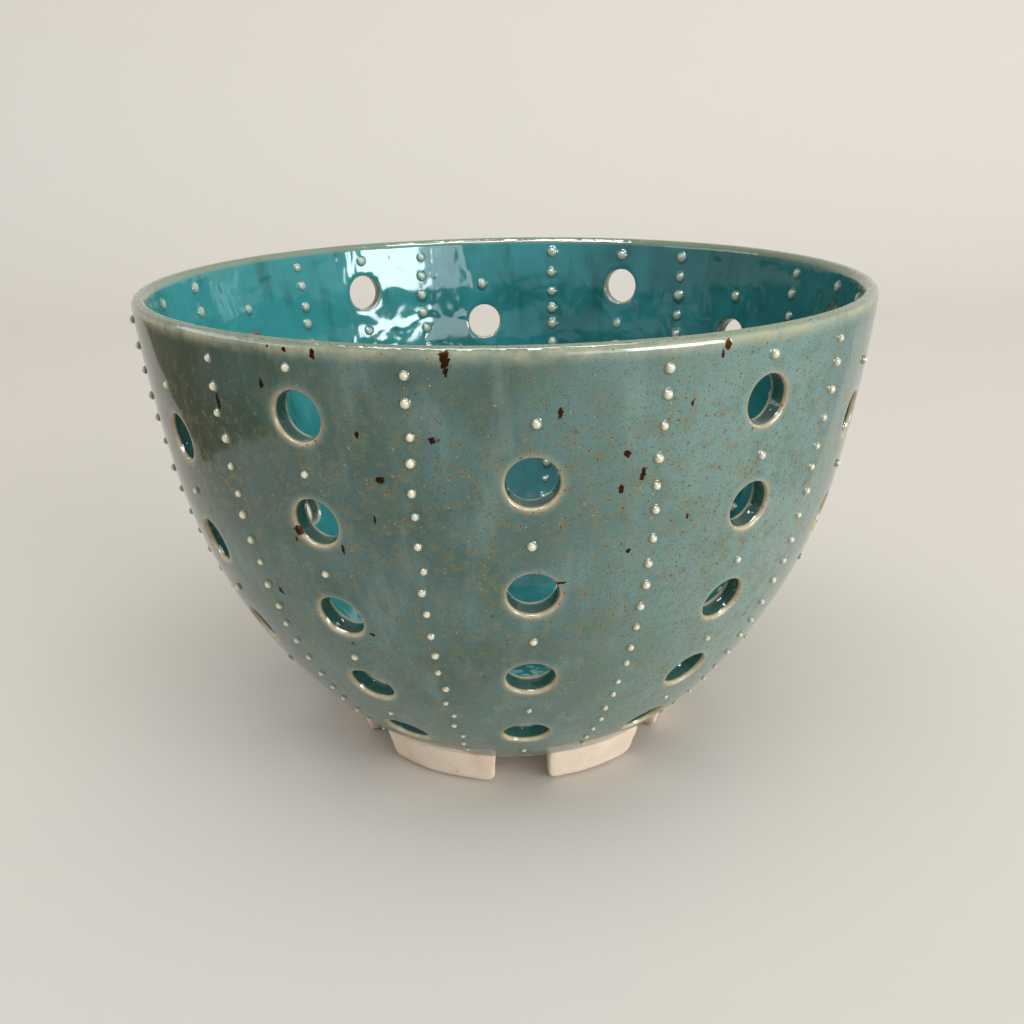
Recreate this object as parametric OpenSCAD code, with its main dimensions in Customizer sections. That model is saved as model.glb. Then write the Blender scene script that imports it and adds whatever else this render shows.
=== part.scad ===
// Berry colander bowl
// A thrown stoneware bowl, pierced with upright columns of round holes, that drains between
// the feet of its notched foot ring. Raised beads of slip run in lines inside and outside.

/* [Bowl] */
// Outer diameter of the rim
rim_d = 160; // [140:1:190]
// Height from the table to the top of the rim
bowl_h = 108; // [96:1:130]
// Thickness of the wall
wall = 4; // [3:0.1:5]
// How much thinner the lip is than the wall
lip_taper = 0.6; // [0.2:0.1:1]
// Lean of the wall from upright at the rim, in degrees
rim_lean = 4.7; // [3:0.1:8]
// Radius of the long curve of the upper wall
upper_r = 330; // [260:5:420]
// Drop from the rim to the belly, where the curve tightens
belly_drop = 37; // [28:1:44]
// Outer diameter where the wall meets the feet
base_d = 80.6; // [72:0.2:90]
// Thickness of the floor
floor_t = 5; // [4:0.5:7]
// Radius of the curve from the wall to the floor, inside
floor_round = 10; // [6:1:12]

/* [Feet] */
// Number of feet cut from the foot ring
feet = 6; // [4:1:8]
// Height of the feet
foot_h = 9; // [7:0.5:12]
// Outer diameter of the feet on the table
foot_d = 75; // [68:0.5:78]
// Width of the foot ring on the table
foot_w = 7; // [5:0.5:9]
// How far the top of the feet sits in from the edge of the wall
foot_inset = 0.6; // [0.3:0.1:1.5]
// Width of the notch between two feet
notch_w = 12; // [8:0.5:15]
// Rounding of the feet's corners at a notch
foot_corner = 2.5; // [1.5:0.1:3.5]
// Softened lower edge of the feet
foot_edge = 1; // [0.5:0.1:1.5]

/* [Holes] */
// Number of columns of holes, high and low by turns
columns = 12; // [8:2:12]
// Turn of the first column from the front, in degrees
column_turn = 3; // [0:1:10]
// Diameter of a hole
hole_d = 9.5; // [7:0.5:11]
// From the rim down the wall to the first hole of a high column
high_first = 13.5; // [11:0.5:16]
// From hole to hole in a high column
high_pitch = 20.8; // [18:0.2:24]
// From the rim down the wall to the first hole of a low column
low_first = 24; // [20:0.5:27]
// From hole to hole in a low column
low_pitch = 22.5; // [18:0.5:25]
// Least run of wall between the middle of a hole and the feet
hole_margin = 10; // [8:0.5:14]
// Number of drain holes around the middle one in the floor
drains = 6; // [3:1:7]
// Diameter of the circle that the drain holes lie on
drain_circle_d = 42; // [36:1:46]

/* [Beads] */
// Width of a bead of slip at the rim
bead_d = 2.8; // [2:0.1:3.6]
// How much smaller the beads are at the feet, as a share
bead_taper = 0.4; // [0:0.05:0.5]
// Height of a bead above the wall
bead_h = 1.2; // [0.8:0.1:1.6]
// From the rim down the wall to the first bead
bead_first = 4.5; // [4:0.5:7]
// From bead to bead in a line
bead_pitch = 5.2; // [4.5:0.1:8]
// Least run of wall between a bead outside and the feet
outer_margin = 6; // [5:0.5:14]
// The same run for a bead inside, above the curve of the floor
inner_margin = 18; // [16:0.5:24]
// How much the beads differ in size, as a share
bead_vary = 0.12; // [0:0.01:0.2]
// How far a bead strays from its place
bead_stray = 0.5; // [0:0.1:0.6]

/* [Hidden] */
$fn = 128;
bead_sides = 20;
glaze = "#668d8a";
slip = "#c8d0bd";
bare_clay = "#cbb096";

// How far a cutter runs past the faces that it cuts
overshoot = 1;
hole_cutter_h = 4 * wall;

// Height of the middle of a foot's corner curve, as a share of its radius: a little low,
// so that the curve meets the table at an angle that can be felt
corner_lift = 0.9;

// How far each column and each notch was set off even spacing by hand, in degrees
column_drift = [0, 2, 0, 0, 3, 1, 2, -1, -1, 0, 3, 0];
notch_drift = [0, -6, 2, 0, -2, 0];

// The outer wall is two arcs that run smoothly into each other at the belly
rim_r = rim_d / 2;
lip_r = (wall - lip_taper) / 2;
lip_z = bowl_h - lip_r;
upper_c = [rim_r - upper_r * cos(rim_lean), lip_z + upper_r * sin(rim_lean)];
belly_lean = asin((upper_c.y - bowl_h + belly_drop) / upper_r);
belly_out = outward(belly_lean);
belly = upper_c + upper_r * belly_out;
base = [base_d / 2, foot_h];
lower_r = belly_arc(belly, base);
lower_c = belly - lower_r * belly_out;
base_lean = asin((lower_c.y - foot_h) / lower_r);

// The inner wall follows them one wall in, and closes on the lip
inner_belly = belly - wall * belly_out;
inner_upper_r = belly_arc(inner_belly, [rim_r - 2 * lip_r, lip_z]);
inner_upper_c = inner_belly - inner_upper_r * belly_out;
inner_rim_lean = asin((inner_upper_c.y - lip_z) / inner_upper_r);
inner_lower_r = lower_r - wall;

// The floor curve touches the inner wall and the floor
floor_z = foot_h + floor_t;
round_rise = lower_c.y - floor_z - floor_round;
round_c = [lower_c.x + sqrt(pow(inner_lower_r - floor_round, 2) - pow(round_rise, 2)),
           floor_z + floor_round];
round_top = lower_c + inner_lower_r * (round_c - lower_c) / norm(round_c - lower_c);

// Run of the outer wall from the top of the rim to the feet
upper_run = upper_r * (belly_lean - rim_lean) * PI / 180;
lower_run = lower_r * (base_lean - belly_lean) * PI / 180;
wall_run = lip_r + upper_run + lower_run;
reach = 2 * (bowl_h + rim_d);

// A bead is the cap of a ball whose middle lies a little below the face of the wall
bead_ball = (pow(bead_d / 2, 2) + pow(bead_h, 2)) / (2 * bead_h);
bead_sink = bead_ball - bead_h;

foot_names = [for (i = [1 : feet]) str("foot_", i)];
outer_line_names = [for (i = [1 : columns]) str("outer_bead_line_", i)];
outer_hole_names = [for (i = [1 : columns]) str("outer_hole_beads_", i)];
inner_line_names = [for (i = [1 : columns]) str("inner_bead_line_", i)];
inner_hole_names = [for (i = [1 : columns]) str("inner_hole_beads_", i)];

// Direction out of a wall that leans this far from upright, in the plane of the profile
function outward(lean) = [cos(lean), -sin(lean)];

// Radius of the arc that leaves a point square to the belly's outward direction and meets another
function belly_arc(from, to) =
    let (across = to - from)
    -(across * across) / (2 * (belly_out * across));

// Lean of the wall, and its point, at a run down the outer wall from the top of the rim
// The side is "outer" or "inner", and the inner wall lies straight behind the outer one
function wall_lean(run, side) =
    let (top_lean = side == "outer" ? rim_lean : inner_rim_lean,
         down = run - lip_r)
    down < upper_run
        ? top_lean + (belly_lean - top_lean) * down / upper_run
        : belly_lean + (down - upper_run) / lower_r * 180 / PI;
function wall_point(run, side) =
    let (out = outward(wall_lean(run, side)))
    run - lip_r < upper_run
        ? (side == "outer" ? upper_c + upper_r * out : inner_upper_c + inner_upper_r * out)
        : lower_c + (side == "outer" ? lower_r : inner_lower_r) * out;

// Azimuth of a hole column, and of the bead line halfway to the next one
function column_azimuth(i) =
    column_turn + 360 * i / columns + column_drift[i % columns % len(column_drift)];
function line_azimuth(i) = (column_azimuth(i) + column_azimuth(i + 1)) / 2;
function notch_azimuth(i) =
    column_turn + 360 * i / feet + notch_drift[i % feet % len(notch_drift)];

// Runs down the wall of the holes in a column, of its beads, and of a line of beads
function first_hole(i) = i % 2 == 0 ? low_first : high_first;
function hole_pitch(i) = i % 2 == 0 ? low_pitch : high_pitch;
function hole_runs(i) = [for (run = [first_hole(i) : hole_pitch(i) : wall_run - hole_margin]) run];
function hole_bead_runs(i, margin) =
    let (top = first_hole(i) - hole_pitch(i) / 2)
    [for (run = [top : hole_pitch(i) : wall_run - margin]) max(run, bead_first)];
function line_bead_runs(margin) = [for (run = [bead_first : bead_pitch : wall_run - margin]) run];

// Sets children on one side of the wall, with their Z axis pointing straight out of it
module on_wall(azimuth, run, side) {
    spot = wall_point(run, side);
    tip = side == "outer" ? 90 : -90;
    rotate([0, 0, azimuth])
        translate([0, -spot.x, spot.y])
            rotate([wall_lean(run, side) + tip, 0, 0])
                children();
}

// Area inside two arcs that run into each other at the belly: the circle of the upper wall,
// less what lies below the belly and outside the circle of the lower wall
module two_arcs(top_c, top_r, bottom_r) {
    difference() {
        translate(top_c) circle(top_r);
        difference() {
            translate(lower_c)
                rotate(-belly_lean)
                    translate([-reach, -reach])
                        square([2 * reach, reach]);
            translate(lower_c) circle(bottom_r);
        }
    }
}

module outer_profile() {
    intersection() {
        two_arcs(upper_c, upper_r, lower_r);
        translate([0, foot_h]) square([rim_r + wall, lip_z - foot_h]);
    }
}

module cavity_profile() {
    intersection() {
        two_arcs(inner_upper_c, inner_upper_r, inner_lower_r);
        translate([0, round_top.y]) square([rim_r, lip_z - round_top.y]);
    }
    intersection() {
        translate(round_c) circle(floor_round);
        translate([round_c.x, floor_z]) square([floor_round, round_top.y - floor_z]);
    }
    translate([0, floor_z]) square([round_c.x, round_top.y - floor_z]);
}

module lip_profile() {
    intersection() {
        translate([rim_r - lip_r, lip_z]) circle(lip_r);
        translate([rim_r - 2 * lip_r, lip_z]) square(2 * lip_r);
    }
}

// The bowl as it comes off the wheel, before it is pierced
module thrown_bowl() {
    rotate_extrude() {
        difference() {
            outer_profile();
            cavity_profile();
        }
        lip_profile();
    }
}

module hole_cutters() {
    for (i = [0 : columns - 1])
        for (run = hole_runs(i))
            on_wall(column_azimuth(i), run, "outer")
                cylinder(d = hole_d, h = hole_cutter_h, center = true);
}

module drain_cutters() {
    translate([0, 0, foot_h - overshoot])
        cylinder(d = hole_d, h = floor_t + 2 * overshoot);
    for (i = [0 : drains - 1])
        rotate([0, 0, column_turn + 360 * i / drains])
            translate([0, -drain_circle_d / 2, foot_h - overshoot])
                cylinder(d = hole_d, h = floor_t + 2 * overshoot);
}

module bowl_wall() {
    color(glaze)
        difference() {
            thrown_bowl();
            hole_cutters();
            drain_cutters();
        }
}

// Ring that the feet are cut from, flat on the table and under the floor
module foot_ring() {
    inner = foot_d / 2 - foot_w;
    outer = foot_d / 2;
    rotate_extrude()
        polygon([[inner + foot_edge, 0], [outer - foot_edge, 0], [outer, foot_edge],
                 [base.x - foot_inset, foot_h], [inner, foot_h], [inner, foot_edge]]);
}

// Slot between two feet, with the feet's corners rounded off
module notch(azimuth) {
    half = notch_w / 2;
    rotate([0, 0, azimuth])
        rotate([90, 0, 0])
            linear_extrude(foot_d)
                difference() {
                    translate([-half - foot_corner, -overshoot])
                        square([notch_w + 2 * foot_corner, foot_h + 2 * overshoot]);
                    for (side = [-1, 1])
                        translate([side * (half + foot_corner), 0])
                            foot_corner_keep();
                }
}

// What stays of a foot beside a notch: all of it, apart from the rounded corner below
module foot_corner_keep() {
    low = foot_corner * corner_lift;
    translate([0, low]) circle(foot_corner);
    translate([-foot_corner, low]) square([2 * foot_corner, foot_h + 2 * overshoot]);
}

// Slice of the circle from one notch to the next
module foot_sector(i) {
    from = notch_azimuth(i);
    to = notch_azimuth(i + 1);
    middle = (from + to) / 2;
    edge = [for (turn = [from, middle, to]) reach * [sin(turn), -cos(turn)]];
    linear_extrude(foot_h + overshoot)
        polygon(concat([[0, 0]], edge));
}

module foot(i) {
    color(bare_clay)
        intersection() {
            difference() {
                foot_ring();
                notch(notch_azimuth(i));
                notch(notch_azimuth(i + 1));
            }
            foot_sector(i);
        }
}

// One bead, flat where it sits on the wall
module bead(size) {
    scale(size)
        rotate_extrude($fn = bead_sides)
            intersection() {
                translate([0, -bead_sink]) circle(bead_ball, $fn = 2 * bead_sides);
                square([bead_d, bead_h]);
            }
}

// Beads down one line, smaller as the slip ran out, and each a little off its place and size
module beads(azimuth, runs, side, seed) {
    count = len(runs);
    sizes = rands(1 - bead_vary, 1 + bead_vary, count, seed);
    strays = rands(-bead_stray, bead_stray, 2 * count, seed + 0.5);
    color(slip)
        for (j = [0 : count - 1])
            let (run = runs[j] + strays[j],
                 turn = strays[count + j] / wall_point(run, side).x * 180 / PI,
                 left = 1 - bead_taper * pow(run / wall_run, 2))
            on_wall(azimuth + turn, run, side)
                bead(sizes[j] * left);
}

bowl_wall();
for (i = [0 : feet - 1])
    foot(i);
for (i = [0 : columns - 1]) {
    beads(line_azimuth(i), line_bead_runs(outer_margin), "outer", i + 1);
    beads(column_azimuth(i), hole_bead_runs(i, outer_margin), "outer", columns + i + 1);
    beads(line_azimuth(i), line_bead_runs(inner_margin), "inner", 2 * columns + i + 1);
    beads(column_azimuth(i), hole_bead_runs(i, inner_margin), "inner", 3 * columns + i + 1);
}
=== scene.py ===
# %% [markdown]
# # A pierced berry bowl in glazed stoneware
# A berry bowl is a small colander: a thrown bowl with holes cut through its wall, standing on feet
# so that water can run out below. This lesson dresses the bowl of the frame piece by piece. The
# frame gives the place of every hole and bead, so the looks can't drift away from the solids.

# %% Load the frame
import math
from types import SimpleNamespace

import bmesh
import bpy
import numpy as np
from mathutils import Matrix, Vector, geometry, noise


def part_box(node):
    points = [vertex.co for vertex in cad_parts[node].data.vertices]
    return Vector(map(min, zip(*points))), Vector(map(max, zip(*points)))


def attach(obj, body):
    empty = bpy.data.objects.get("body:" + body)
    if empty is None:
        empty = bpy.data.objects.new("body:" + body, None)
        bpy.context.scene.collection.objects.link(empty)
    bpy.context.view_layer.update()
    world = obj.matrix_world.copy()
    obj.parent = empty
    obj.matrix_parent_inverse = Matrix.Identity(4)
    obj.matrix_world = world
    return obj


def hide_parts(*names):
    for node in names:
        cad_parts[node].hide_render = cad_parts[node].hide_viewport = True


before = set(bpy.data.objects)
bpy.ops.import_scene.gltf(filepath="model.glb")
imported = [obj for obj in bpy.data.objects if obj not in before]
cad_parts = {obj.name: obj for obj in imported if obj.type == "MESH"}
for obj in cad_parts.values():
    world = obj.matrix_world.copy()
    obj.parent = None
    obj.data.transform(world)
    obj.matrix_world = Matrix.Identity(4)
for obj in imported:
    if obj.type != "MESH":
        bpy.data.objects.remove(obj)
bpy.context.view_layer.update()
scene = bpy.context.scene

# %% [markdown]
# ## Sums on sockets
# A glaze is mostly arithmetic on noise, and so is the rule that bends a flat sheet into a bowl.
# Wiring Math nodes by hand hides the sum, so one small class wraps a socket and lets Python's own
# operators add the nodes.


# %% Wires and trees
def math_node(operation, turned=False):
    """A Python operator that adds a Math node."""
    def apply(wire, other):
        terms = (other, wire) if turned else (wire, other)
        return wire.tree.math(operation, *terms)
    return apply


class Wire:
    """An output socket that can be used in a sum."""

    def __init__(self, tree, socket):
        self.tree = tree
        self.socket = socket

    __add__ = math_node("ADD")
    __sub__ = math_node("SUBTRACT")
    __mul__ = math_node("MULTIPLY")
    __truediv__ = math_node("DIVIDE")
    __gt__ = math_node("GREATER_THAN")
    __lt__ = math_node("LESS_THAN")
    __radd__ = math_node("ADD", turned=True)
    __rsub__ = math_node("SUBTRACT", turned=True)
    __rmul__ = math_node("MULTIPLY", turned=True)

    def also(self, name):
        """Another output of the same node."""
        return Wire(self.tree, self.socket.node.outputs[name])

    def step(self, low, high):
        """A soft step from 0 at low to 1 at high, where low may be the larger one."""
        turned = low > high
        ends = {"From Min": min(low, high), "From Max": max(low, high),
                "To Min": float(turned), "To Max": float(not turned)}
        return self.tree.add("ShaderNodeMapRange", {"interpolation_type": "SMOOTHSTEP"},
                             {"Value": self, **ends})


class Tree:
    """A node tree that grows by one call for each node."""

    def __init__(self, node_tree):
        self.node_tree = node_tree

    def add(self, kind, settings, sockets, out=0):
        node = self.node_tree.nodes.new(kind)
        for name, value in settings.items():
            setattr(node, name, value)
        for name, value in sockets.items():
            if isinstance(value, Wire):
                self.node_tree.links.new(value.socket, node.inputs[name])
            else:
                node.inputs[name].default_value = value
        return Wire(self, node.outputs[out])

    def math(self, operation, *terms):
        return self.add("ShaderNodeMath", {"operation": operation}, dict(enumerate(terms)))

    def vector(self, operation, *terms, out=0):
        settings = {"operation": operation}
        return self.add("ShaderNodeVectorMath", settings, dict(enumerate(terms)), out)

    def parts(self, vector):
        """The three numbers of a vector."""
        split = self.node_tree.nodes.new("ShaderNodeSeparateXYZ")
        self.node_tree.links.new(vector.socket, split.inputs[0])
        return [Wire(self, socket) for socket in split.outputs]

    def feed(self, node, name, wire):
        self.node_tree.links.new(wire.socket, node.inputs[name])

    def attribute(self, name):
        """A value stored on the mesh, which is 0 on a mesh that lacks it."""
        return self.add("ShaderNodeAttribute", {"attribute_name": name}, {}, "Fac")

    def stored(self, name, kind="FLOAT"):
        """The same for a geometry tree, where the kind of value has to be named."""
        return self.add("GeometryNodeInputNamedAttribute", {"data_type": kind}, {"Name": name})

    def change(self, kind, shape, **sockets):
        """A shape as a geometry node changes it."""
        return self.add("GeometryNode" + kind, {}, {"Geometry": shape, **sockets})

    def bump(self, height, strength, distance):
        sockets = {"Strength": strength, "Distance": distance, "Height": height}
        return self.add("ShaderNodeBump", {}, sockets, "Normal")

    def joined(self, x, y, z):
        return self.add("ShaderNodeCombineXYZ", {}, {0: x, 1: y, 2: z})

    def mix(self, factor, first, second):
        """Two colours, mixed by a factor."""
        return self.add("ShaderNodeMix", {"data_type": "RGBA"}, {0: factor, 6: first, 7: second}, 2)

    def noise(self, place, scale, detail=2.0, roughness=0.5, distortion=0.0):
        return self.add("ShaderNodeTexNoise", {}, {
            "Vector": place, "Scale": scale, "Detail": detail, "Roughness": roughness,
            "Distortion": distortion})


# %% [markdown]
# ## The profile
# A potter's rib leaves two long curves in the wall: an almost straight one below the rim and a
# tighter one from the belly to the foot. They share a tangent at the belly, so the profile needs
# only a few sizes. These repeat the values of the part's source, in metres.

# %% The two arcs of the wall
MM = 0.001
WALL = 4 * MM
LIP_R = 1.7 * MM
RIM_LEAN = math.radians(4.7)
UPPER_R = 330 * MM
BELLY_DROP = 37 * MM
BASE_R = 40.3 * MM
FLOOR_T = 5 * MM
FLOOR_ROUND = 10 * MM

wall_low, wall_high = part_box("bowl_wall")
RIM_R = wall_high.x
FOOT_H = wall_low.z
FLOOR_Z = FOOT_H + FLOOR_T
LIP_Z = wall_high.z - LIP_R


def outward(lean):
    """Direction out of a wall that leans this far from upright, as radius and height."""
    return Vector((math.cos(lean), -math.sin(lean)))


def arc_radius(start, end, out):
    """Radius of the arc that leaves start square to out and goes through end."""
    across = end - start
    return -across.dot(across) / (2 * out.dot(across))


upper_c = Vector((RIM_R, LIP_Z)) - UPPER_R * outward(RIM_LEAN)
belly_lean = math.asin((upper_c.y - wall_high.z + BELLY_DROP) / UPPER_R)
belly_out = outward(belly_lean)
belly = upper_c + UPPER_R * belly_out
lower_r = arc_radius(belly, Vector((BASE_R, FOOT_H)), belly_out)
lower_c = belly - lower_r * belly_out
base_lean = math.asin((lower_c.y - FOOT_H) / lower_r)

inner_belly = belly - WALL * belly_out
inner_lip = Vector((RIM_R - 2 * LIP_R, LIP_Z))
inner_upper_r = arc_radius(inner_belly, inner_lip, belly_out)
inner_upper_c = inner_belly - inner_upper_r * belly_out
inner_rim_lean = math.asin((inner_upper_c.y - LIP_Z) / inner_upper_r)

round_rise = lower_c.y - FLOOR_Z - FLOOR_ROUND
round_reach = math.sqrt((lower_r - WALL - FLOOR_ROUND) ** 2 - round_rise ** 2)
round_c = Vector((lower_c.x + round_reach, FLOOR_Z + FLOOR_ROUND))
round_lean = math.atan2(round_rise, round_reach)

upper_run = UPPER_R * (belly_lean - RIM_LEAN)
wall_run = LIP_R + upper_run + lower_r * (base_lean - belly_lean)
round_run = LIP_R + upper_run + lower_r * (round_lean - belly_lean)


def outer_point(run):
    """Radius and height of the outer wall at a run down from the top of the rim."""
    down = run - LIP_R
    if down < upper_run:
        return upper_c + UPPER_R * outward(RIM_LEAN + down / UPPER_R)
    return lower_c + lower_r * outward(belly_lean + (down - upper_run) / lower_r)


def on_outer_wall(azimuth, run):
    """The point of the outer wall at an azimuth, where 0 faces the camera, and a run."""
    radius, height = outer_point(run)
    return Vector((radius * math.sin(azimuth), -radius * math.cos(azimuth), height))


print("profile: run of the wall %.1f mm, lower arc %.1f mm" % (wall_run / MM, lower_r / MM))

# %% [markdown]
# ## Reading holes and beads off the frame
# The holes could be typed in again, but then a change to the part would leave them behind. Each
# hole shows in the frame's mesh as a closed sharp edge, so the edges are followed into loops. The
# beads are separate little solids, which come apart as loose pieces of their node.

# %% Loops and loose pieces
def merged_copy(node):
    """The node's mesh as a fresh bmesh with its loose triangles joined."""
    work = bmesh.new()
    work.from_mesh(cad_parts[node].data)
    bmesh.ops.remove_doubles(work, verts=work.verts, dist=1e-6)
    return work


def islands(links):
    """Groups of vertices that hang together, from a table of neighbours."""
    left = set(links)
    while left:
        group = {left.pop()}
        edge_of_group = set(group)
        while edge_of_group:
            edge_of_group = {n for v in edge_of_group for n in links[v]} & left
            left -= edge_of_group
            group |= edge_of_group
        yield np.array([v.co for v in group])


def sharp_loops(node, least_angle):
    """Middle and radius of each closed sharp edge of a node."""
    work = merged_copy(node)
    links = {}
    for edge in work.edges:
        if len(edge.link_faces) == 2 and edge.calc_face_angle() > least_angle:
            for vert in edge.verts:
                links.setdefault(vert, []).append(edge.other_vert(vert))
    for points in islands(links):
        middle = points.mean(axis=0)
        yield Vector(middle), float(np.linalg.norm(points - middle, axis=1).mean())
    work.free()


WALL_SAMPLES = 2000
SAMPLED_RUNS = np.linspace(LIP_R, wall_run, WALL_SAMPLES)
SAMPLED_WALL = np.array([outer_point(run) for run in SAMPLED_RUNS])


def nearest_run(place):
    """The run of the outer wall nearest to a place, and how far away the wall is there."""
    away = np.linalg.norm(SAMPLED_WALL - (math.hypot(place[0], place[1]), place[2]), axis=1)
    return float(SAMPLED_RUNS[away.argmin()]), away.min()


# %% Holes of the wall and the floor
SHARP = math.radians(35)
LEAST_HOLE = 3 * MM
LARGEST_HOLE = 7 * MM
SEATED = 1 * MM
wall_holes = []
drain_holes = []
for middle, radius in sharp_loops("bowl_wall", SHARP):
    if not LEAST_HOLE < radius < LARGEST_HOLE:
        continue
    run, away = nearest_run(middle)
    if abs(middle.z - FLOOR_Z) < SEATED and math.hypot(middle.x, middle.y) < round_c.x:
        drain_holes.append((middle.x, middle.y, radius))
    elif away < SEATED and middle.z > FLOOR_Z:
        azimuth = math.atan2(middle.x, -middle.y) % math.tau
        wall_holes.append((azimuth, run, radius))
wall_holes.sort()
drain_holes.sort()
print("holes:", len(wall_holes), "in the wall,", len(drain_holes), "in the floor")

# %% [markdown]
# ## The glaze
# This is an iron-bearing sea-green glaze over buff stoneware. It is thick and blue-green where it
# pools, breaks to olive and cream where it runs thin over an edge, and iron in the clay burns
# through it as freckles. A painted picture could hold all that, but it wouldn't follow the holes,
# so the colour is worked out from noise, from the height, and from values stored on the mesh:
# `depth` is 0 outside and 1 inside, `near` grows towards an edge, `raised` and `pool` mark the
# beads. Each function below lays one layer over the colour that it is given.
# Some layers also paint light, shade and reflections into the colour, as their comments say.

# %% Colours
def paint(code):
    """A screen colour such as 6b8a84 as the linear numbers that a shader uses."""
    channels = [int(code[k:k + 2], 16) / 255 for k in (0, 2, 4)]
    linear = [c / 12.92 if c < 0.04045 else ((c + 0.055) / 1.055) ** 2.4 for c in channels]
    return (*linear, 1.0)


SEA_GREY = paint("516e6b")
SEA_GREEN = paint("425b53")
PALE_SEA = paint("7b978f")
DEEP_GREEN = paint("35493f")
MOSS = paint("566b54")
OLIVE = paint("6f7052")
DARK_OLIVE = paint("373f30")
BRIGHT_TEAL = paint("43a0a2")
TEAL = paint("34898c")
DEEP_TEAL = paint("256c6c")
DARK_TEAL = paint("1d4a44")
BORE_GREEN = paint("2a4d45")
TAN = paint("75714e")
STRAW = paint("aea67c")
RIM_CREAM = paint("b2af90")
RIM_GREEN = paint("7e8c78")
RIM_OLIVE = paint("8f9070")
EDGE_TAN = paint("c09e77")
EDGE_CREAM = paint("d2c69f")
SLIP_CREAM = paint("ddd7bf")
SLIP_TAN = paint("b9ae86")
IRON = paint("341d0d")
RUST = paint("5f3c1c")
SOOT = paint("1c2420")
CLAY = paint("ead9c7")
CLAY_WARM = paint("e0c9b0")
CLAY_DARK = paint("8d6f56")

# Points in mm: how far apart they lie, then their least and largest radius
FINE_IRON = (0.75, 0.06, 0.21)
LARGE_IRON = (6.0, 0.2, 0.5)
BLOTCHES = (2.6, 0.15, 0.4)
PALE_FLECKS = (0.8, 0.06, 0.16)
SOOT_POINTS = (0.5, 0.05, 0.12)
CLAY_IRON = (2.4, 0.12, 0.3)

# Heights between which the glaze changes along the rim
RIM_FADE = (105.2 * MM, 108.2 * MM)
LIP_TOP = (107 * MM, 107.7 * MM)
LIP_EDGE = (106.2 * MM, 106.9 * MM)

# The largest iron spots: degrees from the front, then run, half width and half height in mm
IRON_SPOTS = [
    (-7.0, 2.0, 0.9, 1.7), (-7.0, 4.0, 0.4, 0.8), (-23.2, 1.8, 0.5, 1.2),
    (27.0, 1.9, 0.7, 1.0), (26.4, 3.2, 0.3, 1.0), (-9.1, 15.6, 0.6, 0.7),
    (6.2, 11.2, 0.5, 1.0), (14.6, 19.0, 0.7, 0.7), (16.9, 23.2, 0.5, 1.2),
    (14.1, 25.6, 0.5, 0.9), (-16.1, 23.4, 0.8, 0.6), (-40.3, 13.0, 0.5, 1.6),
    (6.7, 43.5, 1.1, 0.3), (-30.1, 35.8, 1.1, 0.9), (-30.7, 37.7, 0.3, 0.5),
    (-23.1, 38.1, 0.4, 1.2), (-17.6, 31.4, 0.25, 1.0), (-37.8, 51.8, 0.7, 0.9),
    (-22.0, 58.0, 0.7, 0.4), (-26.4, 61.8, 0.5, 0.4), (-31.5, 8.0, 0.5, 0.9),
    (-18.5, 15.4, 0.4, 0.7), (-27.2, 1.6, 0.5, 0.4), (-29.6, 1.2, 0.3, 0.3),
    (22.8, 11.3, 0.3, 0.8), (24.1, 32.7, 0.3, 0.7), (15.9, 38.0, 0.4, 0.5),
]


# %% Points and spots of iron
HALO_REACH = 1.5
FAR_AWAY = 10.0


def new_material(name):
    material = bpy.data.materials.new(name)
    material.use_nodes = True
    return material, Tree(material.node_tree), material.node_tree.nodes["Principled BSDF"]


def freckles(tree, place, size, least, most, share):
    """Iron points about size apart, as a mask of the points and one of the halos round them."""
    cells = tree.add("ShaderNodeTexVoronoi", {}, {"Vector": place, "Scale": 1 / (size * MM)})
    lot, chance, _ = tree.parts(cells.also("Color"))
    reach = lot * ((most - least) / size) + least / size
    present = chance < share
    core = (cells - reach).step(0.06, -0.06) * present
    halo = (cells - reach * HALO_REACH).step(0.3, -0.1) * present
    return core, halo


def iron_spots(tree, place):
    """Mask of the few large spots, with ragged edges."""
    nearest = FAR_AWAY
    for azimuth, run, half_width, half_height in IRON_SPOTS:
        spot = on_outer_wall(math.radians(azimuth), run * MM)
        scale = Vector((1 / half_width, 1 / half_width, 1 / half_height)) / MM
        away = tree.vector("MULTIPLY", tree.vector("SUBTRACT", place, spot), scale)
        nearest = tree.math("MINIMUM", tree.vector("LENGTH", away, out="Value"), nearest)
    ragged = tree.noise(place, 1500, 3.0) * 2.0 - 1.0
    return (nearest + ragged).step(1.05, 0.85)


# %% What the glaze is worked out from
def glaze_values(tree):
    """The place on the bowl, what is stored there, and the noises that the layers share."""
    at = SimpleNamespace()
    at.place = tree.add("ShaderNodeTexCoord", {}, {}, "Object")
    at.x, at.y, at.height = tree.parts(at.place)
    for name in ("depth", "near", "raised", "pool"):
        setattr(at, name, tree.attribute(name))
    at.inside = at.depth.step(0.3, 0.7)
    at.outside = 1 - at.inside
    at.bore = at.depth.step(0.1, 0.25) * at.depth.step(0.9, 0.75)
    at.shown = at.outside * (1 - at.bore)
    at.clouds = tree.noise(at.place, 62, 3.0)
    at.mottle = tree.noise(at.place, 210, 3.0, 0.6)
    at.ragged = tree.noise(at.place, 420, 3.0, 0.6)
    at.grain = tree.noise(at.place, 2400, 1.0)
    at.drawn_down = tree.vector("MULTIPLY", at.place, (1, 1, 0.2))
    at.streaks = tree.noise(at.drawn_down, 170, 3.0, 0.6)
    jitter = tree.noise(at.place, 1500, 2.0).also("Color")
    at.bent = tree.vector("MULTIPLY_ADD", jitter, (0.4 * MM,) * 3, at.place)
    return at


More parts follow.
